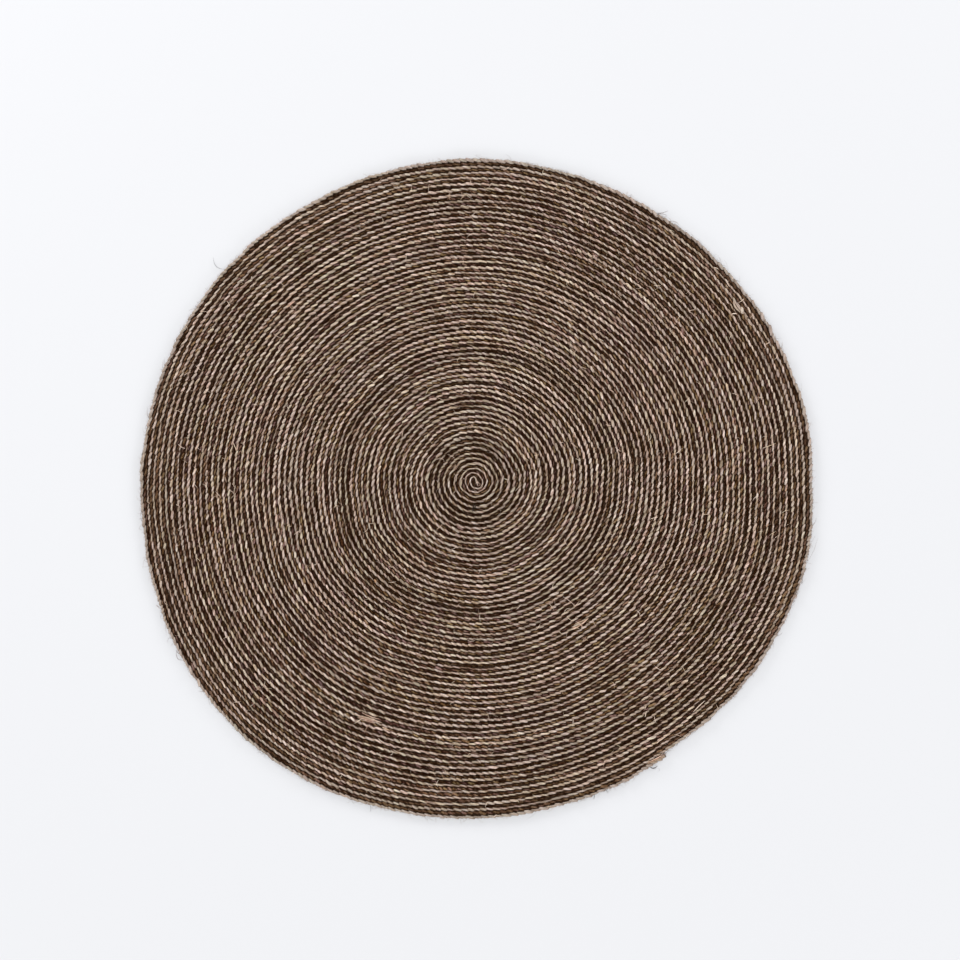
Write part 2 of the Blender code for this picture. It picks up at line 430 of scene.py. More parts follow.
# ---- Materials ----
def add_node(tree, kind, inputs=(), **settings):
    """A node with its settings, and its inputs linked to a socket or set to a value."""
    made = tree.nodes.new(kind)
    for key, value in settings.items():
        setattr(made, key, value)
    for key, value in dict(inputs).items():
        if isinstance(value, bpy.types.NodeSocket):
            tree.links.new(value, made.inputs[key])
        else:
            made.inputs[key].default_value = value
    return made


def noise_of(tree, place, scale, detail, roughness):
    inputs = {"Vector": place, "Scale": scale, "Detail": detail, "Roughness": roughness}
    return add_node(tree, "ShaderNodeTexNoise", inputs).outputs["Fac"]


# Noise on a rope: its cells to a metre of rope and round a ply, and a shift that keeps it apart
# from the others.
Grain = namedtuple("Grain", "per_metre per_round shift detail roughness", defaults=(2.0, 0.55))


def rope_noise(tree, place, grain):
    scale = (grain.per_metre, grain.per_round, 1.0)
    inputs = {"Vector": place, "Scale": scale, "Location": (0, 0, grain.shift)}
    moved = add_node(tree, "ShaderNodeMapping", inputs).outputs[0]
    return noise_of(tree, moved, 1.0, grain.detail, grain.roughness)


MIX_COLOUR_SOCKETS = (6, 7)
MIXED_COLOUR_SOCKET = 2
BUMP_DEPTH = 0.5 * MM


def colours_by(tree, value, stops):
    """A colour ramp through (place, colour) stops."""
    made = add_node(tree, "ShaderNodeValToRGB", {"Fac": value})
    elements = made.color_ramp.elements
    while len(elements) < len(stops):
        elements.new(0.5)
    for element, (place, colour) in zip(elements, stops):
        element.position = place
        element.color = (*colour, 1.0)
    return made.outputs["Color"]


def blend_colours(tree, share, first, second, way="MIX"):
    """Colours mixed by a share from 0 to 1. A plain colour is three numbers."""
    values = {0: share}
    for socket, colour in zip(MIX_COLOUR_SOCKETS, (first, second)):
        values[socket] = (*colour, 1.0) if isinstance(colour, tuple) else colour
    mixed = add_node(tree, "ShaderNodeMix", values, data_type="RGBA", blend_type=way)
    return mixed.outputs[MIXED_COLOUR_SOCKET]


def value_range(tree, value, low, high, out_low=0.0, out_high=1.0, way="LINEAR"):
    """The value from low to high, brought to the range from out_low to out_high."""
    inputs = {"Value": value, "From Min": low, "From Max": high, "To Min": out_low, "To Max": out_high}
    return add_node(tree, "ShaderNodeMapRange", inputs, interpolation_type=way).outputs["Result"]


def maths(tree, way, *values):
    return add_node(tree, "ShaderNodeMath", dict(enumerate(values)), operation=way).outputs[0]


def weighted(tree, values, weights):
    """0.5 and each value's distance from 0.5, times its weight."""
    total = 0.5 * (1 - sum(weights))
    for value, weight in zip(values, weights):
        total = maths(tree, "MULTIPLY_ADD", value, weight, total)
    return total


def new_material(name, roughness, specular=0.0):
    material = bpy.data.materials.new(name)
    material.use_nodes = True
    shader = material.node_tree.nodes["Principled BSDF"]
    shader.inputs["Roughness"].default_value = roughness
    shader.inputs["Specular IOR Level"].default_value = specular
    return material, material.node_tree, shader


def add_bump(tree, shader, height, strength):
    inputs = {"Strength": strength, "Distance": BUMP_DEPTH, "Height": height}
    bump = add_node(tree, "ShaderNodeBump", inputs)
    tree.links.new(bump.outputs[0], shader.inputs["Normal"])


# How a jute looks. Its tone runs from shade over body to light, by three noises with the weights
# in tones, between the two places in ends. A share of it drifts to warm and cool, and it is tinted
# pink and olive. Between the plies, and low between the ropes from one height down to a lower one,
# it turns to a colour of painted shade. Patches show where their noise passes patch_from, and
# level_drift is how much lighter or darker a stretch can be. The rest is for the outer turns and
# the rim: painted light that makes them paler, and painted shade on the last turn.
Jute = namedtuple(
    "Jute",
    "shade body light warm cool hue_share pink olive groove groove_share deep_from deep_to "
    "patch patch_from streaks_per_metre tones ends level_drift "
    "outer_colour outer_share rim_deep rim_worn",
)
NATURAL_JUTE = Jute(
    shade=(0.120, 0.074, 0.046),
    body=(0.402, 0.312, 0.256),
    light=(0.815, 0.70, 0.615),
    warm=(0.47, 0.290, 0.195),
    cool=(0.35, 0.310, 0.258),
    hue_share=0.34,
    pink=(1.04, 0.98, 1.01), olive=(1.0, 1.02, 0.91),
    groove=(0.098, 0.037, 0.008), groove_share=0.52,
    deep_from=5.0 * MM, deep_to=3.1 * MM,
    patch=(0.52, 0.31, 0.18), patch_from=0.73,
    streaks_per_metre=120.0,
    tones=(1.20, 0.62, 0.80),
    ends=(0.20, 0.80),
    level_drift=0.22,
    outer_colour=(0.52, 0.475, 0.430), outer_share=0.06,
    rim_deep=0.3, rim_worn=0.42,
)
DARK_JUTE = Jute(
    shade=(0.0105, 0.0028, 0.0003),
    body=(0.089, 0.0412, 0.0203),
    light=(0.225, 0.148, 0.097),
    warm=(0.080, 0.034, 0.0148),
    cool=(0.050, 0.0275, 0.0175),
    hue_share=0.22,
    pink=(0.94, 0.90, 1.30), olive=(1.02, 1.10, 0.84),
    groove=(0.0130, 0.0028, 0.0001), groove_share=0.8,
    deep_from=5.35 * MM, deep_to=3.8 * MM,
    patch=(0.16, 0.106, 0.070), patch_from=0.74,
    streaks_per_metre=160.0,
    tones=(2.4, 1.4, 0.9),
    ends=(0.27, 0.80),
    level_drift=0.6,
    outer_colour=(0.20, 0.115, 0.065), outer_share=0.28,
    rim_deep=1.0, rim_worn=0.0,
)
PALE_FIBRE = NATURAL_JUTE._replace(
    shade=(0.50, 0.37, 0.27),
    body=(0.80, 0.635, 0.50),
    light=(0.97, 0.86, 0.75),
    warm=(0.82, 0.56, 0.40),
    cool=(0.74, 0.65, 0.54),
)
TAN_FIBRE = NATURAL_JUTE._replace(
    shade=(0.28, 0.165, 0.110),
    body=(0.51, 0.340, 0.250),
    light=(0.78, 0.60, 0.48),
    warm=(0.55, 0.32, 0.225),
    cool=(0.46, 0.35, 0.275),
)
# Black strands: loose dark fibres, and painted shade where they fill dark gaps.
BLACK_FIBRE_AND_GAP_SHADE = DARK_JUTE._replace(
    shade=(0.004, 0.003, 0.002),
    body=(0.020, 0.015, 0.011),
    light=(0.060, 0.045, 0.032),
    warm=(0.030, 0.018, 0.011),
    cool=(0.014, 0.015, 0.012),
)
# Spliced strands: less light, and their painted shade low between the ropes starts and ends lower.
SPLICED = NATURAL_JUTE._replace(deep_from=4.0 * MM, deep_to=2.2 * MM, light=(0.62, 0.50, 0.41))
OPENED_TAN = (0.41, 0.275, 0.165)
OPENED_SHARE = 0.7
OPENED_END = 32 * MM  # of the natural rope
OPENED_BLEND = 8 * MM
# Painted shade: greys and darkens the last turn, for the shade along its outer side.
RIM_PAINTED_SHADE = (0.26, 0.225, 0.195)
RIM_LOOK_BLEND = 50 * MM  # along the rope
# The outer turns' paler colour is painted light.
OUTER_TURNS = (55.0, 58.5)  # turns over which the ropes take their outer colour
STREAKS = Grain(None, 11.0, 0.0, 3.0, 0.65)  # each jute has its own number to a metre
CLUMPS = Grain(52.0, 2.3, 7.3, 1.0)
STRETCHES = Grain(26.0, 1.2, 15.1)
HUES = Grain(9.0, 1.3, 63.1, 2.5)
TINTS = Grain(8.0, 1.1, 81.7, 2.5)
PATCHES = Grain(38.0, 1.8, 47.9, 1.0)
PATCH_EDGE = 0.06
METRES = Grain(1.1, 0.0, 31.7, 1.0)
SPANS = Grain(6.0, 0.5, 22.9, 1.0)
LEVEL_WEIGHTS = (1.3, 0.9)  # of the metres' and the spans' noise
LEVEL_ENDS = (0.25, 0.75)
HUE_ENDS = (0.36, 0.64)
NO_TINT = (1.0, 1.0, 1.0)
CREST_AROUND = 0.5  # a crest's place round its ply
# A ply's darkening round from its crest is painted shade.
PLY_SHADE_SPAN = (0.08, 0.28)  # how far round from the crest a ply starts to darken, and is darkest
FIBRE_ROUGHNESS = 0.92
FIBRE_BUMP = 0.7


def both_ways(tree, place, grain, low_colour, colour, high_colour):
    """A colour that drifts both ways along the rope."""
    stops = [(HUE_ENDS[0], low_colour), (0.50, colour), (HUE_ENDS[1], high_colour)]
    return colours_by(tree, rope_noise(tree, place, grain), stops)


def fibre_colour(tree, place, streaks, jute):
    """Streaks and clumps, hues, tints and levels that drift along the rope, and patches."""
    noises = (streaks, rope_noise(tree, place, CLUMPS), rope_noise(tree, place, STRETCHES))
    stops = [(jute.ends[0], jute.shade), (0.50, jute.body), (jute.ends[1], jute.light)]
    colour = colours_by(tree, weighted(tree, noises, jute.tones), stops)
    hue = both_ways(tree, place, HUES, jute.cool, jute.body, jute.warm)
    colour = blend_colours(tree, jute.hue_share, colour, hue)
    tint = both_ways(tree, place, TINTS, jute.pink, NO_TINT, jute.olive)
    colour = blend_colours(tree, 1.0, colour, tint, "MULTIPLY")
    spots = rope_noise(tree, place, PATCHES)
    patch = value_range(tree, spots, jute.patch_from, jute.patch_from + PATCH_EDGE)
    colour = blend_colours(tree, patch, colour, jute.patch)
    noises = (rope_noise(tree, place, METRES), rope_noise(tree, place, SPANS))
    level = weighted(tree, noises, LEVEL_WEIGHTS)
    level = value_range(tree, level, *LEVEL_ENDS, 1 - jute.level_drift, 1 + jute.level_drift)
    grey = add_node(tree, "ShaderNodeCombineColor", {0: level, 1: level, 2: level}).outputs[0]
    return blend_colours(tree, 1.0, colour, grey, "MULTIPLY")


def tan_at_end(tree, length, colour, route):
    """The rope's end is opened, and tan like the inside of the plies."""
    start = float(route.length[-1]) - OPENED_END
    opened = value_range(tree, length, start, start + OPENED_BLEND, 0.0, OPENED_SHARE)
    return blend_colours(tree, opened, colour, OPENED_TAN)


def outer_turns(tree, length, colour, low_shade, jute, route):
    """Paler towards the rim, with painted light. The last turn is greyed and darkened with painted
    shade, and has less of the painted shade low between the ropes, open to the light on its outer
    side.
    """
    turns = (*OUTER_TURNS, LAST_TURN - 1)
    start, end, last = np.interp(turns, route.turn, route.length).tolist()
    paler = value_range(tree, length, start, end, 0.0, jute.outer_share)
    colour = blend_colours(tree, paler, colour, jute.outer_colour)
    rim_shade = value_range(tree, length, last, last + RIM_LOOK_BLEND, 0.0, jute.rim_worn)
    colour = blend_colours(tree, rim_shade, colour, RIM_PAINTED_SHADE)
    beside = value_range(tree, length, last, last + RIM_LOOK_BLEND, 1.0, jute.rim_deep)
    return colour, maths(tree, "MULTIPLY", low_shade, beside)


def jute_material(name, jute, route=None, tan_end=False):
    """Rope fibre, with painted shade between the plies and low between the ropes. A rope with a
    route changes in its outer turns."""
    material, tree, shader = new_material(name, FIBRE_ROUGHNESS)
    place = add_node(tree, "ShaderNodeUVMap", uv_map=ROPE_MAP).outputs["UV"]
    parts = add_node(tree, "ShaderNodeSeparateXYZ", {0: place}).outputs
    streaks = rope_noise(tree, place, STREAKS._replace(per_metre=jute.streaks_per_metre))
    colour = fibre_colour(tree, place, streaks, jute)
    if tan_end:
        colour = tan_at_end(tree, parts["X"], colour, route)
    # Painted shade on a ply away from its crest, where it meets its twin
    from_crest = maths(tree, "SUBTRACT", maths(tree, "FRACT", parts["Y"]), CREST_AROUND)
    aside = maths(tree, "ABSOLUTE", from_crest)
    groove = value_range(tree, aside, *PLY_SHADE_SPAN, 0.0, jute.groove_share, "SMOOTHSTEP")
    colour = blend_colours(tree, groove, colour, jute.groove)
    space = add_node(tree, "ShaderNodeTexCoord").outputs["Object"]
    height = add_node(tree, "ShaderNodeSeparateXYZ", {0: space}).outputs["Z"]
    # Painted shade, darker the lower the surface lies between the ropes
    low_shade = value_range(tree, height, jute.deep_to, jute.deep_from, 1.0, 0.0, "SMOOTHSTEP")
    if route is not None:
        colour, low_shade = outer_turns(tree, parts["X"], colour, low_shade, jute, route)
    colour = blend_colours(tree, low_shade, colour, jute.groove)
    tree.links.new(colour, shader.inputs["Base Color"])
    add_bump(tree, shader, streaks, FIBRE_BUMP)
    return material


WEB_GRAIN = (420.0, 2.0, 0.6)  # scale, detail and roughness
# Near black: partly the fibres' colour, partly painted shade between the ropes
WEB_SHADE_COLOURS = [(0.35, (0.011, 0.0062, 0.0033)), (0.7, (0.064, 0.037, 0.023))]
WEB_ROUGHNESS = 0.95
WEB_BUMP = 0.5


def web_material():
    """Pressed fibres and sewing yarn, mostly in shadow, near black with painted shade."""
    material, tree, shader = new_material("seam_fibre", WEB_ROUGHNESS)
    place = add_node(tree, "ShaderNodeTexCoord").outputs["Object"]
    grain = noise_of(tree, place, *WEB_GRAIN)
    tree.links.new(colours_by(tree, grain, WEB_SHADE_COLOURS), shader.inputs["Base Color"])
    add_bump(tree, shader, grain, WEB_BUMP)
    return material


# ---- The pieces ----
def build_rope(route, material):
    """The rope's two plies, each as an inner and an outer piece."""
    rope = route.rope
    around = np.array([corner.around for corner in SECTION] + [1.0])
    made = []
    for ply in range(PLIES):
        spans = (("inner", rope.first_turn, SPLIT_TURN), ("outer", SPLIT_TURN, rope.last_turn))
        for zone, first_turn, last_turn in spans:
            rings, length = ply_rings(route, ply, first_turn, last_turn)
            name = f"{rope.name}_{zone}_ply_{ply + 1}"
            piece = tubes(name, rings[None], length[None], around + ply, material)
            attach(piece, "root")
            made.append(piece)
    return made


WEB_HEIGHTS = (3.4 * MM, 1.6 * MM)  # of its upper and its lower face
WEB_SEGMENTS = 192
WEB_RINGS = 8


def build_web(material):
    """The thin layer of sewing and pressed fibres at half height, out to the last turn's axis,
    and its area."""
    turns = LAST_TURN - 1 + np.arange(WEB_SEGMENTS) / WEB_SEGMENTS
    past_end = ramp(turns, LAST_TURN - 2 * END_SPREAD_TURNS, LAST_TURN)
    radius = mix(past_end, natural_radius(turns), natural_radius(turns - 1))
    bearing = bearing_of(turns)
    shares = np.arange(1, WEB_RINGS + 1) / WEB_RINGS
    x = COIL_CENTRE[0] + np.outer(shares, radius * np.cos(bearing))
    y = COIL_CENTRE[1] + np.outer(shares, radius * np.sin(bearing))
    layers = []
    for z in WEB_HEIGHTS:
        plane = np.stack((x, y, np.full_like(x, z)), axis=-1).reshape(-1, 3)
        layers.append(np.concatenate(([(*COIL_CENTRE, z)], plane)))
    below = len(layers[0])
    ring = 1 + np.arange(WEB_RINGS * WEB_SEGMENTS).reshape(WEB_RINGS, WEB_SEGMENTS)
    after = np.roll(ring, -1, axis=1)
    fan = np.column_stack((np.zeros(WEB_SEGMENTS, int), ring[0], after[0]))
    bands = np.stack((ring[:-1], ring[1:], after[1:], after[:-1]), axis=-1).reshape(-1, 4)
    rim = np.column_stack((ring[-1], ring[-1] + below, after[-1] + below, after[-1]))
    both = np.stack((bands, bands[:, ::-1] + below), axis=1).reshape(-1, 4)
    parts = (fan, fan[:, [0, 2, 1]] + below, both, rim)
    faces = [face for part in parts for face in part.tolist()]
    mesh = bpy.data.meshes.new("sewn_web")
    mesh.from_pydata(np.concatenate(layers).tolist(), [], faces)
    mesh.update()
    mesh.materials.append(material)
    area = 0.5 * float(np.sum(x[-1] * np.roll(y[-1], -1) - np.roll(x[-1], -1) * y[-1]))
    return add_object("sewn_web", mesh), area


# ---- Loose fibres ----
STRAND_SIDES = 3
STRAND_STATIONS = 4
TAPER = 0.35  # a strand's thickness at its ends, as a share of its thickness in the middle
LEAST_HEIGHT = 0.05 * MM  # over the floor
COLOUR_REACH = 300.0  # each strand takes its colour from a place up to here along the rope map
STRAND_AROUND = (0.46, 0.49, 0.52, 0.55)  # and near the crest round it


def strand_rings(start, bend, end, radius, stations):
    """Tapered tubes along bent lines. start, bend and end are rows of places."""
    share = np.linspace(0.0, 1.0, stations)
    t = share[None, :, None]
    start, bend, end = start[:, None], bend[:, None], end[:, None]
    line = (1 - t) ** 2 * start + 2 * t * (1 - t) * bend + t**2 * end
    ahead = 2 * (1 - t) * (bend - start) + 2 * t * (end - bend)
    ahead /= np.linalg.norm(ahead, axis=-1, keepdims=True) + 1e-9
    aside = np.cross(ahead, (0.0, 0.0, 1.0))
    aside /= np.linalg.norm(aside, axis=-1, keepdims=True) + 1e-9
    above = np.cross(aside, ahead)
    size = radius[:, None] * (TAPER + (1 - TAPER) * np.sin(math.pi * share)[None])
    angle = 2 * math.pi * np.arange(STRAND_SIDES) / STRAND_SIDES
    round_it = np.cos(angle)[:, None] * aside[:, :, None] + np.sin(angle)[:, None] * above[:, :, None]
    return line[:, :, None] + size[:, :, None, None] * round_it


def strand_piece(name, start, bend, end, radius, material, random, stations=STRAND_STATIONS):
    """Strands as one piece, each with the colour of some other stretch of rope."""
    rings = strand_rings(start, bend, end, radius, stations)
    rings[..., 2] = rings[..., 2].clip(LEAST_HEIGHT)
    first = random.uniform(0.0, COLOUR_REACH, len(start))[:, None]
    length = np.linalg.norm(end - start, axis=1)[:, None]
    along = first + length * np.linspace(0.0, 1.0, stations)[None]
    piece = tubes(name, rings, along, STRAND_AROUND, material)
    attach(piece, "root")
    return piece


def raised(places, spans_mm, random):
    """Sets of places in plan, each raised by some heights within its span."""
    heights = (random.uniform(*span, len(at)) * MM for at, span in zip(places, spans_mm))
    return [np.column_stack((at, height)) for at, height in zip(places, heights)]


def beside_rope(route, length):
    """Places on a rope's axis, the rope's direction there, and the way outwards."""
    place = np.column_stack((route.at(length, "x"), route.at(length, "y")))
    ahead = np.column_stack((route.at(length, "along_x"), route.at(length, "along_y")))
    return place, ahead, np.column_stack((ahead[:, 1], -ahead[:, 0]))


def on_rope(route, random, count):
    """Places spread evenly over the coil, on a rope's crest, and the rope's heading there."""
    length = route.length[-1] * random.uniform(*FUZZY_SHARES, count)
    place, ahead, _ = beside_rope(route, length)
    return place, np.arctan2(ahead[:, 1], ahead[:, 0])


def directions(heading):
    """Unit steps along the headings, and to their left."""
    ahead = np.column_stack((np.cos(heading), np.sin(heading)))
    return ahead, np.column_stack((-ahead[:, 1], ahead[:, 0]))


Fuzz = namedtuple("Fuzz", "name count length_mm radius_mm crossing_share seed")
FINE_FUZZ = Fuzz("fine_loose_fibres", 1500, (4, 13), (0.10, 0.20), 0.5, 21)
COARSE_FUZZ = Fuzz("coarse_loose_fibres", 700, (5, 16), (0.26, 0.50), 0.6, 22)
DARK_FUZZ = Fuzz("dark_loose_fibres", 450, (4, 12), (0.15, 0.32), 0.5, 23)
FUZZY_SHARES = (0.0005, 0.9995)  # of a rope's length
ALONG_SPREAD_DEG = 28  # how far fibres that don't cross the rope turn away from it
FUZZ_MIDDLES = (0.2, 0.8)  # of a fibre's length, where it passes its place on the rope
FUZZ_BOW = 0.22  # of its length
FUZZ_HEIGHTS_MM = ((5.0, 5.8), (5.0, 5.8), (7.2, 8.8))  # of the ends, in the ropes, and the bend


def loose_fibres(fuzz, route, material):
    """Fibres that lie on the ropes, some along them and some across."""
    random = np.random.default_rng(fuzz.seed)
    count = fuzz.count
    place, heading = on_rope(route, random, count)
    crossing = random.random(count) < fuzz.crossing_share
    across = random.uniform(0, math.pi, count)
    along = np.radians(random.normal(0, ALONG_SPREAD_DEG, count))
    ahead, aside = directions(heading + np.where(crossing, across, along))
    length = random.uniform(*fuzz.length_mm, (count, 1)) * MM
    share = random.uniform(*FUZZ_MIDDLES, (count, 1))
    bow = random.normal(0, FUZZ_BOW, (count, 1)) * length
    start = place - ahead * (share * length)
    end = place + ahead * ((1 - share) * length)
    bend = (start + end) / 2 + aside * bow
    start, end, bend = raised((start, end, bend), FUZZ_HEIGHTS_MM, random)
    radius = random.uniform(*fuzz.radius_mm, count) * MM
    return strand_piece(fuzz.name, start, bend, end, radius, material, random)


TUFTS = 46
TUFT_STRANDS = 6
TUFT_SEED = 27
TUFT_SCATTER = 1.6 * MM
TUFT_SPLAY_RAD = 0.6
TUFT_LENGTH_MM = (4.0, 11.0)
TUFT_BOW = 0.35  # of a strand's length
TUFT_HEIGHTS_MM = ((5.2, 6.4), (7.2, 9.0), (5.2, 6.4))  # of the start, the bend and the end
TUFT_RADIUS_MM = (0.18, 0.40)


def tufts(route, material):
    """Small knots of short fibres, where the spinning was uneven."""
    random = np.random.default_rng(TUFT_SEED)
    place, heading = on_rope(route, random, TUFTS)
    count = TUFTS * TUFT_STRANDS
    place = np.repeat(place, TUFT_STRANDS, axis=0) + random.normal(0, TUFT_SCATTER, (count, 2))
    heading = np.repeat(heading, TUFT_STRANDS) + random.normal(0, TUFT_SPLAY_RAD, count)
    ahead, aside = directions(heading)
    length = random.uniform(*TUFT_LENGTH_MM, (count, 1)) * MM
    start = place - ahead * (length / 2)
    end = place + ahead * (length / 2)
    bend = place + aside * (random.normal(0, TUFT_BOW, (count, 1)) * length)
    start, bend, end = raised((start, bend, end), TUFT_HEIGHTS_MM, random)
    radius = random.uniform(*TUFT_RADIUS_MM, count) * MM
    return strand_piece("tufts", start, bend, end, radius, material, random)


# Fibres on the outermost turn's outer side. How far they reach over the floor is the least reach
# and a gamma-distributed share of the spread.
RimFibres = namedtuple("RimFibres", "name count least_mm spread_mm most_mm radius_mm lean seed")
RIM_HAIRS = RimFibres("rim_hairs", 330, 2.0, 1.5, 12.0, (0.08, 0.20), 1.0, 24)
RIM_FUZZ = RimFibres("rim_fuzz", 900, 0.2, 0.5, 2.6, (0.14, 0.32), 2.2, 28)
RIM_GAMMA = 2.0
RIM_ROOT = 1.2 * MM  # outwards from the rope's axis
RIM_FACE = 2.2 * MM
RIM_BACK = 0.5  # a fibre's root lies back by this share of its lean
RIM_BOW = 0.3  # and its middle bows out and back by this share of its reach and lean
RIM_HEIGHTS_MM = ((1.0, 5.0), (1.0, 6.5), (0.3, 5.0))


def rim_fibres(kind, route, material):
    """Fibres that stand out from the outermost turn, over the floor."""
    random = np.random.default_rng(kind.seed)
    count = kind.count
    turn = LAST_TURN - random.uniform(0.0, 1.0, count)
    root, ahead, out = beside_rope(route, np.interp(turn, route.turn, route.length))
    reach = kind.least_mm + random.gamma(RIM_GAMMA, kind.spread_mm, (count, 1))
    reach = reach.clip(0, kind.most_mm) * MM
    lean = random.normal(0, kind.lean, (count, 1)) * reach
    start = root + out * RIM_ROOT - ahead * (RIM_BACK * lean)
    end = root + out * (RIM_FACE + reach) + ahead * lean
    bend = (start + end) / 2 + out * (RIM_BOW * reach) - ahead * (RIM_BOW * lean)
    start, bend, end = raised((start, bend, end), RIM_HEIGHTS_MM, random)
    radius = random.uniform(*kind.radius_mm, count) * MM
    return strand_piece(kind.name, start, bend, end, radius, material, random)
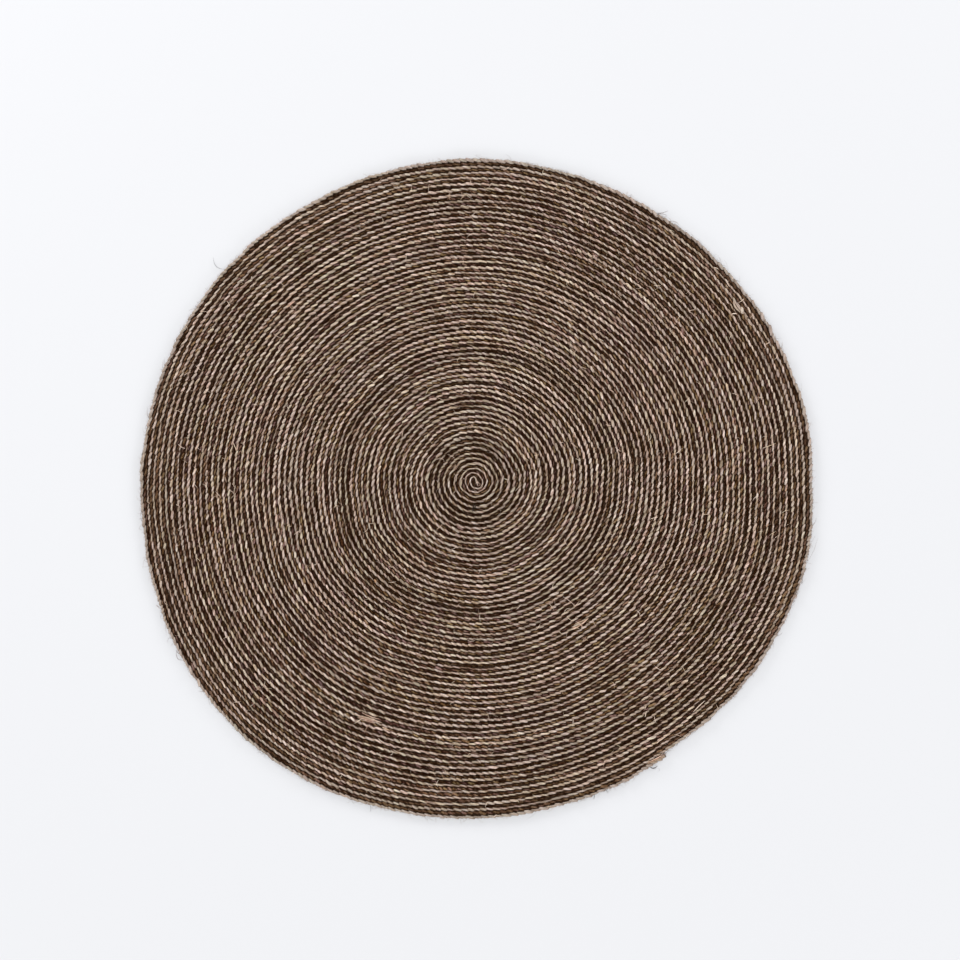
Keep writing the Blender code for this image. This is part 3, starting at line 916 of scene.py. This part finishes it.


# The fibres, knots, splices and dark gaps that stand out one by one, each a bent strand: where it
# starts, the ways from there to its bend and to its end, and its thickness, in millimetres. A black
# strand in a dark gap is painted shade.
MARKS = [
    ("pale", [
        (49.1, 19.1, 4.7, -2.9, 9.3, -3.6, 1), (70, -3.9, 6.1, 6.1, 11.5, 10.4, 0.6),
        (3.4, -153.2, 4.3, 6.7, 6.8, 11.6, 0.7), (-70.1, 163.6, 6.1, -1.8, 11.5, -5.5, 0.7),
        (343.9, -343.2, 0.7, -10.3, 4.9, -19.3, 0.5), (303.6, -411.5, 0.7, 5.8, 2.5, 11.2, 1.4),
        (390.5, -402.6, 8.5, 11.3, 20.9, 20.8, 1.8), (431.6, -388.2, 2.3, -4.2, 3.2, -8.9, 0.6),
        (251.6, -460.6, 5.2, -2, 9.9, -6.3, 0.8), (254.8, -405.9, 7.4, -0.5, 14.4, -3.9, 0.6),
        (-352.3, 371.5, 3.6, -4.3, 7.5, -8.2, 0.9), (-42.7, -9, 2.9, 1.8, 4.7, 5.1, 0.8),
        (471.4, 334.5, 6.1, 2.8, 12, 9.3, 1.4), (458.4, 313.8, 4.7, 1.9, 10.8, 1.2, 2),
        (427.4, 398.5, 5.1, -0.7, 8.7, -4.3, 0.9), (448, 364, 2.5, 2.1, 4.3, -1.8, 0.9),
        (424.7, 354.6, 5.6, -3.2, 8.9, -8.3, 0.9), (493, 306.4, 0.7, 3.6, 3.9, 5.7, 1),
        (174.9, -414, -0.9, -6.8, -1.1, -14, 1.2), (-446.3, 274.3, 3.6, 2.9, 6.9, 6.9, 1.4),
        (40.1, -46.1, 6.8, 2.2, 14, 1.8, 0.8), (-197.7, -407.5, 9.9, -3.2, 19.8, -12.6, 0.9),
        (514.5, 73, 11.5, 3, 24.5, 9, 1.3), (209.6, -145.8, 8, -4.3, 15.2, -9.5, 1.1),
        (156, -194.6, 13, -6.3, 23, -18.5, 1.3), (180.3, -239.2, 5.9, -4.6, 12.6, -9.9, 1.6),
        (171.3, -247.3, 7.2, -1.7, 14.4, -4.5, 1.6), (147.4, -256.3, 4.3, -2.9, 9, -7.6, 0.9),
        (221.2, -173.1, 3.2, 2.5, 6.8, 0.3, 1.8), (239.5, -211.7, 5.4, 3.3, 10.5, 7.6, 1.4),
        (-219.8, -422.6, 7.9, 4.7, 16.5, 10.8, 1.8), (-200.8, -416.9, 1.8, 1.1, 3.6, -0.7, 2),
        (-150, -469.1, 5.8, -4.3, 13.3, -6.4, 1.1), (-139.7, -471.8, 5.2, 3.8, 14.2, 5.3, 0.9),
        (-176.5, -449.8, 5.3, -4.5, 11, -8.5, 1.5), (-164.4, -371.5, 2.2, 0.7, 4.7, -0.7, 1.8),
        (-249, -471.6, 0.4, -5, 2.2, -10.1, 0.8), (-246.3, -521.6, 2.7, 3.2, 4.9, 7.5, 0.8),
        (-537, 80, 6, -6, 13, -8, 1), (-438, 83, 4, -7, 6.5, -15, 1.4), (-419, 74, 1, -6, 0, -12, 1),
        (-452, 22, 1, -6, 2, -11, 1), (520.8, 259.6, 4.2, 1.7, 7.8, 5.4, 1.5),
        (324.3, -458.2, 8.7, 7.2, 17.7, 12.8, 1.5),
    ]),
    # Knots at the lower left, lower right and upper left, and the natural rope's opened end
    ("tan", [
        (-71.5, -73.8, 5.4, 4.9, 10.8, 10.1, 1.4), (-104.6, 42.1, 4.3, 5.1, 9.3, -1.4, 0.8),
        (-130.6, 105.9, -3.2, -6.9, -2.8, -15.5, 1.1), (-340.4, 325.5, 5.7, 6.8, 14, 11.5, 2.4),
        (-339, 329.1, 5, -0.4, 7.2, -6.9, 1.5), (-217.5, -406.6, 11.7, -2.7, 21.6, -9, 1.6),
        (-205.8, -403, 12.6, -7.2, 30.6, -11.7, 2.4), (309, -492.5, 11, 4.5, 24, 12, 2.6),
        (306, -495.5, 12, 4, 24, 10.5, 2.2), (170.8, -250.9, 5.7, 1.8, 11.8, 1.4, 1.5),
        (183.5, -239.7, 4.5, -4.7, 8.1, -10.5, 2.2), (175.8, -245.1, 7.2, 6.1, 19.1, 8.2, 2),
        (179.4, -249.8, 11.5, 6.1, 19.1, 13.7, 2), (186, -246.5, 7, 6.5, 15.5, 13, 3.6),
        (171, -253.5, 7, 2, 15.5, 7, 3), (275.2, -252, 3.9, -2.5, 9.3, -6.8, 1.4),
        (-208.7, -435.6, 2.5, 4.3, 6.5, 4, 1.2), (-195.4, -424.4, -2.1, -7.6, -6.4, -14.8, 1.2),
        (-214, -412, 15, -1.5, 30, -7.5, 3.6), (-207, -416, 12, -1.5, 24, -6.5, 2.6),
        (-212.6, -409.3, 14, -1.1, 28.4, -6.5, 4.2), (-198.6, -412.2, 15.5, -3.6, 28.6, -9.3, 3),
        (-169.8, -429.1, 7.2, -2.2, 14.8, -6.5, 3),
    ]),
    # At the heart, and the loop near the rim at the upper right
    ("splice", [
        (5.5, -31, 7.4, 1.6, 13.7, 2.2, 4.2), (2, 13.5, -0.8, -2, -2.9, -4.5, 1.9),
        (2.2, 13.5, -0.6, -4, 0.2, -8.5, 2.4), (2.4, 13.5, 1.2, -2.9, 3.5, -5.1, 1.9),
        (-28, 19.5, 2.8, -9.9, -1.2, -17.5, 4.4), (463, 338, 1, -13.5, 15, -22, 4),
        (462.5, 342.5, 6.1, -16.5, 23.5, -30.5, 5), (468, 334, 5.5, -8, 21.5, -26, 3.2),
    ]),
    # At the upper left
    ("rim_dark", [
        (-449.7, 395.7, -23.4, -3.1, -24.7, 20.8, 0.62),
    ]),
    # At the heart and the lower right
    ("dark", [
        (-4.5, -28.5, -0.7, -7, -2.3, -14, 3.4), (28.6, 57.6, 4.3, -5.4, 6.1, -12.2, 1.4),
        (23.9, 52.2, 3.6, -3.6, 5.4, -10.4, 1.2), (-1.7, -19.1, -0.3, -9.5, -5.1, -18.7, 1.3),
        (-1, -29.5, -0.5, -6, -4, -12.5, 2.4), (338.9, -477, 1.4, -3.2, 1.8, -6.8, 2),
    ]),
    # At the lower right and the bottom
    ("rim_dark", [
        (312.2, -500.4, 6.9, -6.8, 14.1, 0.7, 1.6), (313.7, -502.9, 6.8, -4.3, 11.9, -1.1, 0.3),
        (-193.5, -566, 6, -9, 2.1, -17, 0.6), (11, -588.5, 1.5, -3.5, 4, -7, 0.8),
        (212.5, -549.5, 1, -5, -1, -10.5, 1), (232.5, -540, 2.5, -4, 5, -9.5, 0.8),
    ]),
    # At the lower left
    ("dark", [
        (-241.8, -452.9, 0.7, 3.3, 2.9, 6.5, 1.4),
    ]),
    ("rim", [
        (327.4, -502.9, 3.9, -2.5, 1.4, -6.1, 0.36), (-519, -306, -24, -10, -21.4, 14, 0.7),
        (-530, -297, -7, -2, -11.5, 6, 0.6), (-569, -217, -4, 4, -8.5, 7.5, 0.7),
        (314, 498, 17.5, -5, 31.9, 3, 0.7), (318, 493.4, 17.1, 4.6, 26.1, -1.9, 0.6),
        (346, 481, 12, 3, 19.2, -5.6, 0.7), (269, 522, 1.5, 6, 3.1, 13, 0.7),
        (276, 519, 1, 6, 3.5, 11, 0.6), (508, -302, 5, -5, 8.5, -4.5, 1.2),
    ]),
]
MARK_HEIGHTS_MM = {  # of the start, the bend and the end
    "pale": (5.2, 7.8, 5.2),
    "tan": (5.2, 7.6, 5.2),
    "splice": (4.4, 5.9, 4.4),
    "dark": (5.0, 7.8, 5.0),
    "rim_dark": (1.2, 2.5, 0.8),
    "rim": (3.0, 4.5, 1.0),
}
MARK_SEED = 25
MARK_STATIONS = 9


def mark_piece(name, kinds, material):
    """All marks of these kinds, as one piece."""
    random = np.random.default_rng(MARK_SEED)
    groups = [(marks, MARK_HEIGHTS_MM[kind]) for kind, marks in MARKS if kind in kinds]
    rows = np.array([(*mark, *heights) for marks, heights in groups for mark in marks])
    x, y, bend_x, bend_y, end_x, end_y, thick, height, bend_height, end_height = rows.T * MM
    start = np.column_stack((x, y, height))
    bend = np.column_stack((x + bend_x, y + bend_y, bend_height))
    end = np.column_stack((x + end_x, y + end_y, end_height))
    return strand_piece(name, start, bend, end, thick / 2, material, random, MARK_STATIONS)


FRAY_STRANDS = 46
FRAY_SEED = 26
FRAY_BACK_MM = (0.0, 14.0)  # where the strands leave the rope, back from its end
FRAY_ACROSS_MM = (-1.8, 1.8)
FRAY_REACH_MM = (4.0, 9.0)
FRAY_ROOT = 2.0 * MM  # inside the rope
FRAY_SPREAD = 0.25  # of a strand's reach
FRAY_BOW = 0.4  # of its spread
FRAY_HEIGHTS_MM = ((2.0, 5.2), (3.0, 7.6), (1.0, 5.5))
FRAY_RADIUS_MM = (0.15, 0.35)


def frayed_end(route, material):
    """The natural rope's cut end, opened into a short brush."""
    random = np.random.default_rng(FRAY_SEED)
    back = random.uniform(*FRAY_BACK_MM, FRAY_STRANDS) * MM
    root, ahead, out = beside_rope(route, route.length[-1] - back)
    column = (FRAY_STRANDS, 1)
    across = random.uniform(*FRAY_ACROSS_MM, column) * MM
    reach = random.uniform(*FRAY_REACH_MM, column) * MM
    spread = random.normal(0.0, FRAY_SPREAD, column) * reach
    start = root + out * across - ahead * FRAY_ROOT
    end = start + ahead * reach + out * spread
    bend = (start + end) / 2 + out * (FRAY_BOW * spread)
    start, bend, end = raised((start, bend, end), FRAY_HEIGHTS_MM, random)
    radius = random.uniform(*FRAY_RADIUS_MM, FRAY_STRANDS) * MM
    return strand_piece("frayed_end", start, bend, end, radius, material, random)


# ---- The rug ----
natural_route = Route(NATURAL)
dark_route = Route(DARK)
natural_material = jute_material("natural_jute_fibre", NATURAL_JUTE, natural_route, tan_end=True)
dark_material = jute_material("dark_jute_fibre", DARK_JUTE, dark_route)
splice_material = jute_material("spliced_fibre", SPLICED)
black_material = jute_material("black_loose_fibre", BLACK_FIBRE_AND_GAP_SHADE)
pale_material = jute_material("pale_loose_fibre", PALE_FIBRE)
tan_material = jute_material("tan_loose_fibre", TAN_FIBRE)

natural_pieces = build_rope(natural_route, natural_material)
dark_pieces = build_rope(dark_route, dark_material)
fibre_pieces = [
    loose_fibres(FINE_FUZZ, natural_route, pale_material),
    loose_fibres(COARSE_FUZZ, natural_route, pale_material),
    loose_fibres(DARK_FUZZ, dark_route, dark_material),
    tufts(natural_route, tan_material),
    rim_fibres(RIM_HAIRS, natural_route, natural_material),
    rim_fibres(RIM_FUZZ, natural_route, natural_material),
    mark_piece("pale_marks", ("pale",), pale_material),
    mark_piece("rim_marks", ("rim",), natural_material),
    mark_piece("splices", ("splice",), splice_material),
    mark_piece("tan_marks", ("tan",), tan_material),
    mark_piece("dark_marks", ("dark", "rim_dark"), black_material),
    frayed_end(natural_route, tan_material),
]
web, web_area = build_web(web_material())
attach(web, "root")
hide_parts("rope_coil")

# ---- The stage ----
VIEW_CENTRE = (6.6 * MM, 15.5 * MM)
VIEW_WIDTH = 1.728  # of what the camera sees at the height of the ropes' crests
CAMERA_HEIGHT = 3.6
CREST_HEIGHT = 5.0 * MM
SENSOR_MM = 36.0


def build_camera():
    """Straight above the rug."""
    data = bpy.data.cameras.new("camera")
    data.sensor_width = SENSOR_MM
    data.lens = SENSOR_MM * (CAMERA_HEIGHT - CREST_HEIGHT) / VIEW_WIDTH
    camera = add_object("camera", data)
    camera.location = (*VIEW_CENTRE, CAMERA_HEIGHT)
    bpy.context.scene.camera = camera


FLOOR_SIZE = 14.0
FLOOR_COLOUR = (0.695, 0.70, 0.716)
FLOOR_ROUGHNESS = 0.9
FLOOR_SPECULAR = 0.5


def build_floor():
    material, _, shader = new_material("pale_floor", FLOOR_ROUGHNESS, FLOOR_SPECULAR)
    shader.inputs["Base Color"].default_value = (*FLOOR_COLOUR, 1.0)
    bpy.ops.mesh.primitive_plane_add(size=FLOOR_SIZE, location=(0.0, 0.0, 0.0))
    floor = bpy.context.object
    floor.name = "floor"
    floor.data.materials.append(material)


SKY_COLOUR = (0.98, 0.985, 1.0)
SKY_STRENGTH = 0.60
Softbox = namedtuple("Softbox", "name x y z wide high power")
SOFTBOXES = [
    Softbox("overhead", -0.2, 0.2, 5.0, 3.0, 3.0, 90.0),
    Softbox("upper_left", -3.6, 3.6, 1.15, 2.4, 1.1, 166.0),
    Softbox("upper_right", 3.6, 3.6, 1.15, 3.2, 1.1, 125.0),
    Softbox("lower_left", -3.6, -3.6, 1.15, 3.2, 1.1, 90.0),
    Softbox("lower_right", 3.6, -3.6, 1.15, 3.2, 1.1, 112.0),
]


def build_lights():
    """An even pale room, a soft light overhead and low ones all round, the strongest upper left."""
    world = bpy.data.worlds.new("soft_sky")
    world.use_nodes = True
    sky = world.node_tree.nodes["Background"]
    sky.inputs["Color"].default_value = (*SKY_COLOUR, 1.0)
    sky.inputs["Strength"].default_value = SKY_STRENGTH
    bpy.context.scene.world = world
    for box in SOFTBOXES:
        data = bpy.data.lights.new(box.name, "AREA")
        data.shape = "RECTANGLE"
        data.size, data.size_y = box.wide, box.high
        data.energy = box.power
        light = add_object(box.name, data)
        light.location = (box.x, box.y, box.z)
        light.rotation_euler = (-light.location).to_track_quat("-Z", "Y").to_euler()


build_camera()
build_floor()
build_lights()
bpy.context.scene.view_settings.view_transform = "Standard"
